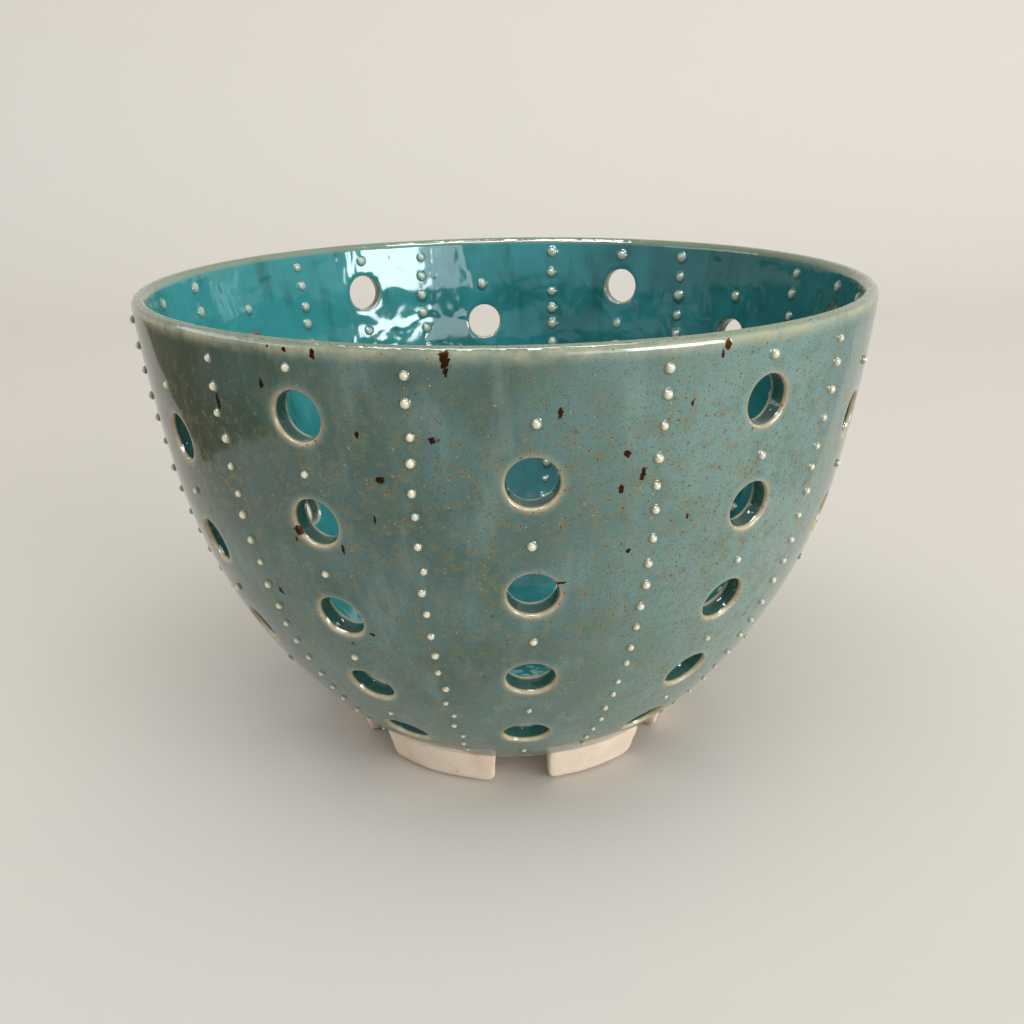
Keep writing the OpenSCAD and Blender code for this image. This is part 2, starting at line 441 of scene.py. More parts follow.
# %% Layers of the glaze
def pure_glaze(tree, at):
    """Blue-grey thick glaze, green thin glaze, a turquoise inside, and painted light and shade."""
    # Painted light and sheen: the right flank is paler, as if lit from the right.
    painted_light_right = at.x.step(-5 * MM, 50 * MM) * at.x.step(85 * MM, 50 * MM)
    # Painted reflection: the upper left flank is darker, as if it mirrored something dark.
    painted_dark_reflection_left = at.height.step(60 * MM, 80 * MM) * at.x.step(-30 * MM, -60 * MM)
    sea = tree.mix(at.clouds.step(0.36, 0.62), SEA_GREEN, SEA_GREY)
    sea = tree.mix(painted_light_right * 0.75, sea, PALE_SEA)
    sea = tree.mix(at.height.step(55 * MM, 15 * MM) * 0.3, sea, PALE_SEA)
    sea = tree.mix(at.streaks.step(0.48, 0.74) * 0.4, sea, PALE_SEA)
    sea = tree.mix(at.mottle.step(0.46, 0.68) * 0.4, sea, MOSS)
    sea = tree.mix(painted_dark_reflection_left * 0.65, sea, DARK_OLIVE)
    sea = tree.mix(at.grain.step(0.55, 0.75) * 0.45, sea, DEEP_GREEN)
    # Painted shade darkens the inside towards the right, and darker streaks run down it.
    shade = at.x.step(0.0, 70 * MM) * 0.35 + at.streaks.step(0.5, 0.75) * 0.5
    lagoon = tree.mix(at.clouds.step(0.34, 0.66), DEEP_TEAL, TEAL)
    # Painted light: the inside is lighter on the left, whose wall faces the light.
    lagoon = tree.mix(at.x.step(0.0, -60 * MM) * 0.6, lagoon, BRIGHT_TEAL)
    lagoon = tree.mix(shade, lagoon, DARK_TEAL)
    colour = tree.mix(at.inside, sea, lagoon)
    return tree.mix(at.bore * 0.9, colour, BORE_GREEN)


def pale_points(tree, at, colour):
    """Olive clusters, tan halos and soot. A mask of the rusty middles comes back as well."""
    belt = at.height.step(14 * MM, 40 * MM) * at.height.step(107 * MM, 90 * MM)
    cluster = tree.noise(at.place, 520, 1.0).step(0.51, 0.65) * belt
    share = cluster * 0.8 + at.mottle.step(0.4, 0.62) * belt * 0.15 + 0.04
    rust, halo = freckles(tree, at.bent, *FINE_IRON, share + at.pool * 0.3)
    _, blotch = freckles(tree, at.bent, *BLOTCHES, 0.35)
    fleck, _ = freckles(tree, at.bent, *PALE_FLECKS, share * 0.6)
    soot, _ = freckles(tree, at.bent, *SOOT_POINTS, at.clouds.step(0.3, 0.7) * 0.5 + 0.2)
    colour = tree.mix(cluster * at.shown * 0.3, colour, OLIVE)
    colour = tree.mix((halo * 0.65 + blotch * 0.3) * at.shown, colour, TAN)
    colour = tree.mix(fleck * at.shown * 0.7, colour, STRAW)
    colour = tree.mix(soot * at.shown * 0.85, colour, SOOT)
    return tree.mix(at.pool * 0.5, colour, DEEP_GREEN), rust * at.shown


def thin_edges(tree, at, colour):
    """Thin glaze over the rim and hole edges, most below them, and a painted reflection round the
    holes.
    """
    upper = at.height + at.ragged * (1.4 * MM)
    rim = upper.step(*RIM_FADE) * at.outside * (at.mottle.step(0.3, 0.65) * 0.35 + 0.45)
    colour = tree.mix(rim, colour, RIM_CREAM)
    speckled = tree.mix(at.grain.step(0.5, 0.8), RIM_GREEN, DEEP_GREEN)
    colour = tree.mix(at.height.step(*LIP_TOP) * 0.85, colour, speckled)
    inner_edge = at.height.step(*LIP_EDGE) * at.depth.step(0.7, 0.9)
    colour = tree.mix(inner_edge * 0.6, colour, RIM_OLIVE)

    direction = tree.add("ShaderNodeAttribute", {"attribute_name": "round"}, {}, "Vector")
    _, below, _ = tree.parts(direction)
    lower_edge = below.step(-0.2, 0.9)
    # Painted reflection: a pale halo round each hole, as the rounded edge would mirror.
    colour = tree.mix(at.near.step(0.05, 0.6) * at.shown * 0.22, colour, PALE_SEA)
    warm = (at.near + lower_edge * 0.1).step(0.4, 1.0) * at.shown
    colour = tree.mix(warm * 0.35, colour, EDGE_TAN)
    closeness = at.near + (at.ragged - 0.5) * 0.4 + lower_edge * 0.1
    thin = closeness.step(0.72, 1.12) * (1 - at.bore)
    edge = tree.mix(lower_edge * 0.6 + at.ragged.step(0.4, 0.62) * 0.4, EDGE_TAN, EDGE_CREAM)
    return tree.mix(thin * 0.75, colour, edge)


def slip_on_beads(tree, at, colour):
    """The beads are cream on top and tan on their sides, under a little glaze inside."""
    slip = tree.mix(at.raised.step(0.3, 0.9), SLIP_TAN, SLIP_CREAM)
    covered = at.raised.step(0.08, 0.68) * (at.mottle.step(0.3, 0.6) * 0.2 + 0.8)
    return tree.mix(covered * (1 - at.inside * 0.35), colour, slip)


def wiped_clay(tree, at):
    """Mask of the clay above the feet, which was wiped a little higher over the left one."""
    azimuth = tree.math("ARCTAN2", at.x, at.y * -1)
    over_left_foot = azimuth.step(-0.92, -0.7) * azimuth.step(-0.2, -0.3)
    bare_to = over_left_foot * (2.2 * MM) + (FOOT_H + 0.2 * MM)
    margin = bare_to - at.height + (at.ragged - 0.5) * (1.6 * MM)
    return margin.step(-0.15 * MM, 0.15 * MM) * at.outside


def melted_surface(tree, at, burnt):
    """The bumps of a glaze that swelled and settled while it melted, mostly inside."""
    waves = tree.noise(at.place, 120, 1.0, distortion=0.8) * 3.8
    swell = (waves + tree.noise(at.drawn_down, 300, 1.0, distortion=0.6)) * at.inside
    lumps = tree.noise(at.place, 700, 1.0) * at.bore * 2
    rounded = at.near * at.near * at.inside * 1.3
    peel = swell + lumps + tree.noise(at.place, 420, 1.0) * 0.1 - burnt * 0.1 - rounded
    return tree.bump(peel, 1.0, 0.1 * MM)


# %% Glaze material
GLOSS = 0.07


def sea_glaze():
    material, tree, surface = new_material("sea_glaze")
    at = glaze_values(tree)
    colour, rust = pale_points(tree, at, pure_glaze(tree, at))
    colour = thin_edges(tree, at, colour)
    colour = tree.mix(rust, colour, RUST)
    large, _ = freckles(tree, at.bent, *LARGE_IRON, 0.12)
    burnt = large * (1 - at.inside * 0.85) * (1 - at.bore)
    burnt = tree.math("MAXIMUM", burnt, iron_spots(tree, at.place) * at.outside)
    colour = tree.mix(burnt, colour, IRON)
    colour = slip_on_beads(tree, at, colour)
    dribble = at.height.step(13.5 * MM, 10.8 * MM) * at.mottle.step(0.5, 0.6) * at.outside
    colour = tree.mix(dribble * 0.7, colour, DEEP_GREEN)
    bare = wiped_clay(tree, at)
    colour = tree.mix(bare, colour, tree.mix(at.clouds, CLAY, CLAY_WARM))
    tree.feed(surface, "Base Color", colour)

    # Iron crystals have a dull metal face
    tree.feed(surface, "Metallic", burnt)
    tree.feed(surface, "Roughness", GLOSS + at.inside * 0.01 + burnt * 0.4 + bare * 0.7)
    tree.feed(surface, "Normal", melted_surface(tree, at, burnt))
    return material


glaze = sea_glaze()
print("glaze:", len(glaze.node_tree.nodes), "nodes")

# %% [markdown]
# ## Bare clay
# The feet were wiped clean of glaze, so that the bowl wouldn't stick to the kiln shelf. What shows
# is buff stoneware: matt, a little pink, with a fine tooth and a few specks of iron.

# %% Clay material
def bare_clay():
    material, tree, surface = new_material("bare_clay")
    place = tree.add("ShaderNodeTexCoord", {}, {}, "Object")
    _, _, height = tree.parts(place)
    clouds = tree.noise(place, 110, 4.0, 0.6)
    tooth = tree.noise(place, 2600, 3.0, 0.7)
    colour = tree.mix(clouds.step(0.35, 0.7), CLAY, CLAY_WARM)
    colour = tree.mix(tooth.step(0.55, 0.85) * 0.3, colour, CLAY_DARK)
    # The feet are darker towards their bottom.
    darker_at_bottom = (height + tree.noise(place, 300) * (1.2 * MM)).step(2.2 * MM, 0.6 * MM)
    colour = tree.mix(darker_at_bottom * 0.25, colour, CLAY_DARK)
    core, halo = freckles(tree, place, *CLAY_IRON, 0.3)
    colour = tree.mix(halo * 0.3, colour, CLAY_WARM)
    colour = tree.mix(core * 0.8, colour, CLAY_DARK)
    smear = (height + tree.noise(place, 380, 3.0) * (3 * MM)).step(9.4 * MM, 11 * MM)
    colour = tree.mix(smear * 0.55, colour, SEA_GREEN)
    tree.feed(surface, "Base Color", colour)
    tree.feed(surface, "Roughness", 0.92 - smear * 0.4)
    tree.feed(surface, "Normal", tree.bump(tooth * 0.6 + clouds, 0.5, 0.12 * MM))
    return material


clay = bare_clay()

# %% [markdown]
# ## The pierced wall
# Cutting 54 holes out of a bowl with booleans leaves slivers that a glossy glaze shows at once. A
# cleaner way is to think of the wall as a flat sheet in three numbers: the azimuth round the bowl,
# the run down the wall from the rim, and the depth into the wall, from 0 outside to 1 inside. The
# sheet is a plain grid with a square gap at each hole. Geometry Nodes then sets the same patch,
# with a round hole and soft edges, into each gap, and rolls the whole sheet up by the rule of the
# two arcs. The potter's throwing rings are part of that rule.

# %% A draft of a mesh
class Draft:
    """Points with values stored on them, and faces, on their way to becoming a mesh."""

    def __init__(self):
        self.points = []
        self.values = []
        self.faces = []

    def add(self, points, **values):
        """Adds points that share values, and returns their numbers."""
        first = len(self.points)
        self.points.extend(points)
        self.values.extend([values] * len(points))
        return list(range(first, len(self.points)))

    def band(self, lower, upper):
        """Joins two closed rings of points by a band of faces."""
        for k, low in enumerate(lower):
            after = (k + 1) % len(lower)
            self.faces.append((upper[k], low, lower[after], upper[after]))

    def stack(self, rings):
        """Joins each closed ring to the next one."""
        for lower, upper in zip(rings, rings[1:]):
            self.band(lower, upper)

    def to_object(self, name):
        mesh = bpy.data.meshes.new(name)
        mesh.from_pydata(self.points, [], self.faces)
        for label in sorted({label for row in self.values for label in row}):
            stored = mesh.attributes.new(label, "FLOAT", "POINT")
            stored.data.foreach_set("value", [row.get(label, 0.0) for row in self.values])
        return linked(name, mesh)


def linked(name, mesh):
    """A new object of the scene for a mesh."""
    piece = bpy.data.objects.new(name, mesh)
    scene.collection.objects.link(piece)
    return piece


def store_vectors(mesh, label, vectors):
    stored = mesh.attributes.new(label, "FLOAT_VECTOR", "POINT")
    stored.data.foreach_set("vector", np.asarray(vectors, dtype=np.float32).ravel())


# %% The flat sheet, with its gaps
AROUND = 360
DOWN = round((wall_run - LIP_R) / (1.4 * MM))
LIP_STEPS = 8
GAP_ACROSS = 8
GAP_DOWN = 5
COLUMN = math.tau / AROUND
ROW = (wall_run - LIP_R) / DOWN

holes = [(round(azimuth / COLUMN), round((run - LIP_R) / ROW), azimuth, run, radius)
         for azimuth, run, radius in wall_holes]
in_gap = np.zeros((DOWN, AROUND), dtype=bool)
for column, row, *_ in holes:
    across = np.arange(column - GAP_ACROSS, column + GAP_ACROSS) % AROUND
    in_gap[row - GAP_DOWN:row + GAP_DOWN, across] = True

sheet = Draft()


def sheet_ring(run, depth, rise):
    points = [(COLUMN * i, run, depth) for i in range(AROUND)]
    return sheet.add(points, flat=1.0, depth=depth, rise=rise)


def sheet_band(lower, upper, row):
    """A band of the sheet, without the faces that lie in a gap."""
    for i in np.flatnonzero(~in_gap[row]):
        after = (i + 1) % AROUND
        sheet.faces.append((upper[i], lower[i], lower[after], upper[after]))


outer_rings = [sheet_ring(LIP_R + ROW * j, 0.0, 0.0) for j in range(DOWN + 1)]
inner_rings = [sheet_ring(LIP_R + ROW * j, 1.0, 0.0) for j in range(DOWN + 1)]
for row in range(DOWN):
    sheet_band(outer_rings[row + 1], outer_rings[row], row)
    sheet_band(inner_rings[row], inner_rings[row + 1], row)
lip_rings = [outer_rings[0]]
for k in range(1, LIP_STEPS):
    turn = math.pi * k / LIP_STEPS
    lip_rings.append(sheet_ring(LIP_R, (1 - math.cos(turn)) / 2, LIP_R * math.sin(turn)))
sheet.stack(lip_rings + [inner_rings[0]])
print("sheet:", AROUND, "by", DOWN, "cells,", int(in_gap.sum()), "left out for the holes")

# %% [markdown]
# ## The floor
# The floor closes the bottom ring of the sheet. It is flat, so thin triangles do no harm there, and
# a Delaunay triangulation fills it round its drain holes.

# %% Floor and underside
EDGE_ROUND = 0.45 * MM
EDGE_TURNS = [math.radians(turn) for turn in (0, 30, 60, 90)]
DRAIN_STEPS = 32
DRAIN_NEAR = 0.9
MIDDLE_RING = 0.86
MIDDLE_SKIP = 6


def circle(x, y, radius, count):
    turns = [math.tau * k / count for k in range(count)]
    return [(x + radius * math.cos(turn), y + radius * math.sin(turn)) for turn in turns]


def disc_faces(rings, loops):
    """Triangles between closed rings and round the loops, as numbers of all their points."""
    flat = []
    bounds = []
    loop_of = []
    for number, ring in enumerate(rings + loops):
        first = len(flat)
        bounds += [(first + k, first + (k + 1) % len(ring)) for k in range(len(ring))]
        loop_of += [number - len(rings)] * len(ring)
        flat += ring
    found = geometry.delaunay_2d_cdt([Vector(p) for p in flat], bounds, [], 0, 1e-7)
    for face in found[2]:
        corners = [found[3][v][0] for v in face]
        owners = {loop_of[v] for v in corners}
        if len(owners) > 1 or min(owners) < 0:
            yield corners


drain_loops = [circle(x, y, radius + EDGE_ROUND, DRAIN_STEPS) for x, y, radius in drain_holes]
for height, edge_radius, depth in ((FLOOR_Z, round_c.x, 1.0), (FOOT_H, BASE_R, 0.0)):
    edge = [(edge_radius * math.sin(COLUMN * i), -edge_radius * math.cos(COLUMN * i))
            for i in range(AROUND)]
    middle_ring = [(x * MIDDLE_RING, y * MIDDLE_RING) for x, y in edge[::MIDDLE_SKIP]]
    plan = [point for ring in [edge, middle_ring] + drain_loops for point in ring]
    numbers = sheet.add([(x, y, height) for x, y in plan], depth=depth)
    for face in disc_faces([edge, middle_ring], drain_loops):
        turned = face if depth else face[::-1]
        sheet.faces.append([numbers[v] for v in turned])

# A soft edge goes from the face to the bore in steps, each with its distance from both
edge_steps = [(EDGE_ROUND * (1 - math.sin(turn)), EDGE_ROUND * (1 - math.cos(turn)))
              for turn in EDGE_TURNS]
drain_levels = [(out, FLOOR_Z - drop) for out, drop in edge_steps]
drain_levels += [(out, FOOT_H + drop) for out, drop in edge_steps[::-1]]
for x, y, radius in drain_holes:
    rings = []
    for out, level in drain_levels:
        points = [(px, py, level) for px, py in circle(x, y, radius + out, DRAIN_STEPS)]
        depth = (level - FOOT_H) / FLOOR_T
        rings.append(sheet.add(points, depth=depth, near=DRAIN_NEAR * depth))
    sheet.stack(rings)
sheet_object = sheet.to_object("flat_sheet")

# %% The patch that holds one hole
half_border = ([(GAP_ACROSS, j) for j in range(GAP_DOWN)]
               + [(i, GAP_DOWN) for i in range(GAP_ACROSS, -GAP_ACROSS, -1)]
               + [(-GAP_ACROSS, j) for j in range(GAP_DOWN, 0, -1)])
patch_border = half_border + [(-i, -j) for i, j in half_border]
PATCH_STEPS = len(patch_border)

# Each ring has its share of the way from gap to hole, its distance from the bore, and its depth
OUTER_WAYS = (0.0, 0.4, 0.65, 0.82, 0.92)
BORE_DEPTHS = (0.35, 0.65)
INNER_WAYS = (0.88, 0.7, 0.4, 0.0)
edge_rings = [(1.0, out, drop / WALL) for out, drop in edge_steps]
patch_rings = [(way, EDGE_ROUND, 0.0) for way in OUTER_WAYS] + edge_rings
patch_rings += [(1.0, 0.0, depth) for depth in BORE_DEPTHS]
patch_rings += [(way, out, 1 - depth) for way, out, depth in edge_rings[::-1]]
patch_rings += [(way, EDGE_ROUND, 1.0) for way in INNER_WAYS]

patch = Draft()
rings = [patch.add([(0, 0, 0)] * PATCH_STEPS, flat=1.0, way=way, out=out, depth=depth)
         for way, out, depth in patch_rings]
patch.stack(rings[::-1])
patch_object = patch.to_object("hole_patch")
borders = [(i * COLUMN, j * ROW, 0) for i, j in patch_border]
directions = [(right, below, 0) for right, below in circle(0, 0, 1, PATCH_STEPS)]
store_vectors(patch_object.data, "border", borders * len(patch_rings))
store_vectors(patch_object.data, "round", directions * len(patch_rings))

hole_points = Draft()
for *_, radius in holes:
    hole_points.add([(0, 0, 0)], radius=radius)
points_object = hole_points.to_object("hole_points")
gaps = [(column * COLUMN, LIP_R + row * ROW, 0) for column, row, *_ in holes]
middles = [(azimuth, run, 0) for _, _, azimuth, run, _ in holes]
store_vectors(points_object.data, "gap", gaps)
store_vectors(points_object.data, "middle", middles)

# %% The rule that rolls the sheet into a bowl
WALL_SIZES = {
    "Lip Radius": LIP_R, "Rim Lean": RIM_LEAN, "Inner Rim Lean": inner_rim_lean,
    "Belly Lean": belly_lean, "Round Lean": round_lean, "Upper Run": upper_run,
    "Round Run": round_run, "Wall Run": wall_run, "Upper Radius": UPPER_R, "Lower Radius": lower_r,
    "Inner Upper Radius": inner_upper_r, "Wall": WALL, "Floor Round": FLOOR_ROUND,
    "Upper Centre": upper_c, "Inner Upper Centre": inner_upper_c, "Lower Centre": lower_c,
    "Round Centre": round_c, "Edge Reach": 2 * MM, "Throwing Ring Depth": 0.09 * MM,
    "Inner Ring Depth": 0.12 * MM, "Inner Ring Pitch": 17 * MM, "Inner Ring Start": 16.5 * MM,
    "Wobble": 0.3 * MM,
}


def either(flag, first, second):
    """The first value where the flag is 0, the second where it is 1."""
    return first + (second - first) * flag


def on_arc(tree, centre, radius, lean):
    """Radius and height of the point of an arc that faces out at a lean."""
    return (centre[0] + radius * tree.math("COSINE", lean),
            centre[1] - radius * tree.math("SINE", lean))


def wall_rule(tree, size, run):
    """Outer and inner point of the wall at a run, each as a radius and a height."""
    down = run - size["Lip Radius"]
    high = tree.math("MINIMUM", down, size["Upper Run"])
    low = tree.math("MAXIMUM", down - size["Upper Run"], 0.0) / size["Lower Radius"]
    is_low = down > size["Upper Run"]
    is_round = run > size["Round Run"]
    centres = {name: tree.parts(size[name])[:2]
               for name in ("Upper Centre", "Inner Upper Centre", "Lower Centre", "Round Centre")}

    lean = size["Rim Lean"] + high / size["Upper Radius"] + low
    radius = either(is_low, size["Upper Radius"], size["Lower Radius"])
    centre = [either(is_low, a, b)
              for a, b in zip(centres["Upper Centre"], centres["Lower Centre"])]

    opening = (size["Belly Lean"] - size["Inner Rim Lean"]) * high / size["Upper Run"]
    inner_lean = size["Inner Rim Lean"] + opening + low
    past_round = (run - size["Round Run"]) / (size["Wall Run"] - size["Round Run"])
    floor_lean = size["Round Lean"] + (math.pi / 2 - size["Round Lean"]) * past_round
    inner_lean = either(is_round, inner_lean, floor_lean)
    inner_radius = either(is_low, size["Inner Upper Radius"], size["Lower Radius"] - size["Wall"])
    inner_radius = either(is_round, inner_radius, size["Floor Round"])
    inner_centre = [either(is_round, either(is_low, a, b), c)
                    for a, b, c in zip(centres["Inner Upper Centre"], centres["Lower Centre"],
                                       centres["Round Centre"])]
    return (on_arc(tree, centre, radius, lean),
            on_arc(tree, inner_centre, inner_radius, inner_lean))


# %% The node tree of the wall
SEAM = 0.004 * MM


def new_tree(name, inputs):
    """An empty geometry tree with named inputs, and the wires of those inputs."""
    group = bpy.data.node_groups.new(name, "GeometryNodeTree")
    group.interface.new_socket("Geometry", in_out="INPUT", socket_type="NodeSocketGeometry")
    group.interface.new_socket("Geometry", in_out="OUTPUT", socket_type="NodeSocketGeometry")
    for label, kind in inputs.items():
        group.interface.new_socket(label, in_out="INPUT", socket_type="NodeSocket" + kind)
    tree = Tree(group)
    source = group.nodes.new("NodeGroupInput")
    return tree, {socket.name: Wire(tree, socket) for socket in source.outputs if socket.name}


def close_tree(tree, shape, material):
    """Ends a tree: real faces in place of instances, smooth shading and a material."""
    shape = tree.change("RealizeInstances", shape)
    shape = tree.change("SetShadeSmooth", shape)
    shape = tree.change("SetMaterial", shape, Material=material)
    end = tree.node_tree.nodes.new("NodeGroupOutput")
    tree.feed(end, "Geometry", shape)


def thrown(tree, size, right, front, run, depth):
    """How far a thrown wall strays from the rule, outwards and upwards."""
    above_foot = (run / size["Wall Run"]).step(1.0, 0.85)
    close_rings = tree.joined(right * 0.5, front * 0.5, run * 210)
    rings = (tree.noise(close_rings, 1.0, 1.0) - 0.5) * above_foot
    broad_swells = tree.joined(right, front, run * 6)
    wobble = (tree.noise(broad_swells, 0.8, 1.0) - 0.5) * above_foot
    ring_turn = (run - size["Inner Ring Start"]) / size["Inner Ring Pitch"] * math.tau + wobble * 2
    inner_rings = tree.math("SINE", ring_turn) * depth * above_foot
    out = rings * size["Throwing Ring Depth"] * 2 + wobble * size["Wobble"] * 2
    up = wobble * (1 - run / size["Wall Run"]) * size["Wobble"] * 1.5
    return out + inner_rings * size["Inner Ring Depth"], up


def rolling_tree():
    kinds = {label: "Vector" if "Centre" in label else "Float" for label in WALL_SIZES}
    tree, size = new_tree("rolled_wall", {"Hole Points": "Object", "Hole Patch": "Object", **kinds})
    hole_spots = tree.add("GeometryNodeObjectInfo", {}, {"Object": size["Hole Points"]}, "Geometry")
    one_patch = tree.add("GeometryNodeObjectInfo", {}, {"Object": size["Hole Patch"]}, "Geometry")
    patches = tree.add("GeometryNodeInstanceOnPoints", {},
                       {"Points": hole_spots, "Instance": one_patch})
    patches = tree.change("RealizeInstances", patches)

    gap, border, middle, direction = [tree.stored(name, "FLOAT_VECTOR")
                                      for name in ("gap", "border", "middle", "round")]
    gap_azimuth, gap_run, _ = tree.parts(tree.vector("ADD", gap, border))
    azimuth, run, _ = tree.parts(middle)
    right, below, _ = tree.parts(direction)
    reach = tree.stored("radius") + tree.stored("out")
    edge_run = run + reach * below
    (edge_radius, _), _ = wall_rule(tree, size, edge_run)
    edge_azimuth = azimuth + reach * right / edge_radius
    way = tree.stored("way")
    spot_azimuth = either(way, gap_azimuth, edge_azimuth)
    spot_run = either(way, gap_run, edge_run)
    apart = tree.joined((spot_azimuth - azimuth) * edge_radius, spot_run - run, 0.0)
    away = tree.vector("LENGTH", apart, out="Value") - tree.stored("radius")
    near = tree.math("MAXIMUM", 1 - away / size["Edge Reach"], 0.0)
    patches = tree.change("StoreNamedAttribute", patches, Name="near", Value=near)
    spot = tree.joined(spot_azimuth, spot_run, tree.stored("depth"))
    patches = tree.change("SetPosition", patches, Position=spot)

    whole = tree.node_tree.nodes.new("GeometryNodeJoinGeometry")
    tree.feed(whole, "Geometry", size["Geometry"])
    tree.feed(whole, "Geometry", patches)
    azimuth, run, depth = tree.parts(tree.add("GeometryNodeInputPosition", {}, {}))
    outer, inner = wall_rule(tree, size, run)
    rise = tree.stored("rise")
    radius = either(depth, outer[0], inner[0]) + rise * tree.math("SINE", size["Rim Lean"])
    height = either(depth, outer[1], inner[1]) + rise * tree.math("COSINE", size["Rim Lean"])

    right = tree.math("SINE", azimuth)
    front = tree.math("COSINE", azimuth)
    out, up = thrown(tree, size, right, front, run, depth)
    rolled = tree.joined((radius + out) * right, (radius + out) * front * -1, height + up)
    shape = tree.change("SetPosition", Wire(tree, whole.outputs[0]),
                        Selection=tree.stored("flat") > 0.5, Position=rolled)
    shape = tree.change("MergeByDistance", shape, Distance=SEAM)
    close_tree(tree, shape, glaze)
    return tree.node_tree


def grown(source, group, values, name):
    """The mesh that a node group makes of an object, as a plain object of its own."""
    modifier = source.modifiers.new("grow", "NODES")
    modifier.node_group = group
    for item in group.interface.items_tree:
        if item.in_out == "INPUT" and item.name in values:
            modifier[item.identifier] = values[item.name]
    graph = bpy.context.evaluated_depsgraph_get()
    mesh = bpy.data.meshes.new_from_object(source.evaluated_get(graph), depsgraph=graph,
                                           preserve_all_data_layers=True)
    bpy.data.objects.remove(source)
    mesh.name = name
    return linked(name, mesh)


# %% The glazed bowl
CREASE = math.radians(50)

# A point of the profile has two numbers, where a modifier takes three
sizes = {label: (*value, 0.0) if isinstance(value, Vector) else value
         for label, value in WALL_SIZES.items()}
wall_inputs = {"Hole Points": points_object, "Hole Patch": patch_object, **sizes}
bowl = grown(sheet_object, rolling_tree(), wall_inputs, "glazed_bowl")
for spent in (points_object, patch_object):
    bpy.data.objects.remove(spent)
bowl.data.set_sharp_from_angle(angle=CREASE)
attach(bowl, "root")
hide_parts("bowl_wall")
faces_of_edge = np.bincount([corner.edge_index for corner in bowl.data.loops])
open_edges = int((faces_of_edge != 2).sum())
print("bowl:", len(bowl.data.polygons), "faces,", open_edges, "edges not shared by two faces")

# %% [markdown]
# ## Slip beads
# The dots were trailed on with liquid clay before glazing. Each is a drop that slumped into a low
# dome, with glaze pooled round its foot. One small dome is enough for all of them: Geometry Nodes
# sets it on points, turned square to the wall and scaled to the drop that the frame has there.

# %% One drop
DROP_SIDES = 12
# Radius and height of each ring as shares of the drop's own, then how far it is raised and pooled
DROP_RINGS = [(1.05, -0.1, 0.0, 0.0), (0.84, -0.02, 0.0, 0.5), (0.62, 0.05, 0.2, 0.4),
              (0.55, 0.3, 0.4, 0.1), (0.41, 0.53, 0.65, 0.0), (0.21, 0.67, 0.9, 0.0)]
DROP_TOP = 0.73

drop = Draft()
rings = []
for reach, rise, raised, pool in DROP_RINGS:
    points = [(x, y, rise) for x, y in circle(0, 0, reach, DROP_SIDES)]
    rings.append(drop.add(points, raised=raised, pool=pool))
drop.faces.append(rings[0][::-1])
drop.stack(rings)
apex = drop.add([(0, 0, DROP_TOP)], raised=1.0)[0]
for k, corner in enumerate(rings[-1]):
    drop.faces.append((corner, rings[-1][(k + 1) % DROP_SIDES], apex))
drop_object = drop.to_object("drop")


# %% Drops on their places
def drops_of(node, side):
    """Foot, direction, half width and height of each drop of a node, outside or inside."""
    work = merged_copy(node)
    links = {vert: [edge.other_vert(vert) for edge in vert.link_edges] for vert in work.verts}
    for points in islands(links):
        middle = points.mean(axis=0)
        _, _, axes = np.linalg.svd(points - middle)
        axis = axes[2]
        if side * (axis[:2] @ middle[:2]) < 0:
            axis = -axis
        along = (points - middle) @ axis
        across = np.linalg.norm(points - middle - np.outer(along, axis), axis=1)
        yield middle + axis * along.min(), axis, float(across.max()), float(np.ptp(along))
    work.free()


def drop_tree():
    followed = ["Wall Run", "Wobble"] + [label for label in WALL_SIZES if "Ring" in label]
    kinds = {label: "Float" for label in followed}
    tree, given = new_tree("drops", {"Drop": "Object", "Inside": "Float", **kinds})
    x, y, _ = tree.parts(tree.add("GeometryNodeInputPosition", {}, {}))
    azimuth = tree.math("ARCTAN2", x, y * -1)
    right = tree.math("SINE", azimuth)
    front = tree.math("COSINE", azimuth)
    out, up = thrown(tree, given, right, front, tree.stored("run"), given["Inside"])
    offset = tree.joined(out * right, out * front * -1, up)
    places = tree.change("SetPosition", given["Geometry"], Offset=offset)
    one = tree.add("GeometryNodeObjectInfo", {}, {"Object": given["Drop"]}, "Geometry")
    turned = tree.add("FunctionNodeAlignRotationToVector", {"axis": "Z"},
                      {"Vector": tree.stored("out", "FLOAT_VECTOR")})
    shape = tree.add("GeometryNodeInstanceOnPoints", {}, {
        "Points": places, "Instance": one, "Rotation": turned,
        "Scale": tree.joined(tree.stored("wide"), tree.stored("wide"), tree.stored("tall"))})
    shape = tree.change("RealizeInstances", shape)
    shape = tree.change("StoreNamedAttribute", shape, Name="depth", Value=given["Inside"])
    close_tree(tree, shape, glaze)
    return tree.node_tree


# %% Beads of every node
# The photograph shows wider drops inside than outside
INNER_SPREAD = 1.6
drops = drop_tree()
bead_nodes = sorted(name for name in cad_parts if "bead" in name)
drop_count = 0
for node in bead_nodes:
    inside = node.startswith("inner")
    read = list(drops_of(node, -1 if inside else 1))
    feet_of_drops = Draft()
    spread = INNER_SPREAD if inside else 1.0
    for foot, _, wide, tall in read:
        run, _ = nearest_run(foot)
        feet_of_drops.add([tuple(foot)], wide=wide * spread, tall=tall, run=run)
    source = feet_of_drops.to_object("drop_places")
    store_vectors(source.data, "out", [axis for _, axis, _, _ in read])
    drop_inputs = {"Drop": drop_object, "Inside": float(inside), **sizes}
    beads = grown(source, drops, drop_inputs, "glazed_" + node)
    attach(beads, "root")
    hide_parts(node)
    drop_count += len(read)
bpy.data.objects.remove(drop_object)
print("beads:", drop_count, "drops in", len(bead_nodes), "pieces")

# %% [markdown]
# ## Feet
# The feet are what is left of a thrown ring after notches were cut through it and wiped with a
# sponge. The frame's feet have the right place and size, so a copy of each is taken, pushed a
# little into the underside, and rounded as a wet sponge would: remeshed finely and smoothed.

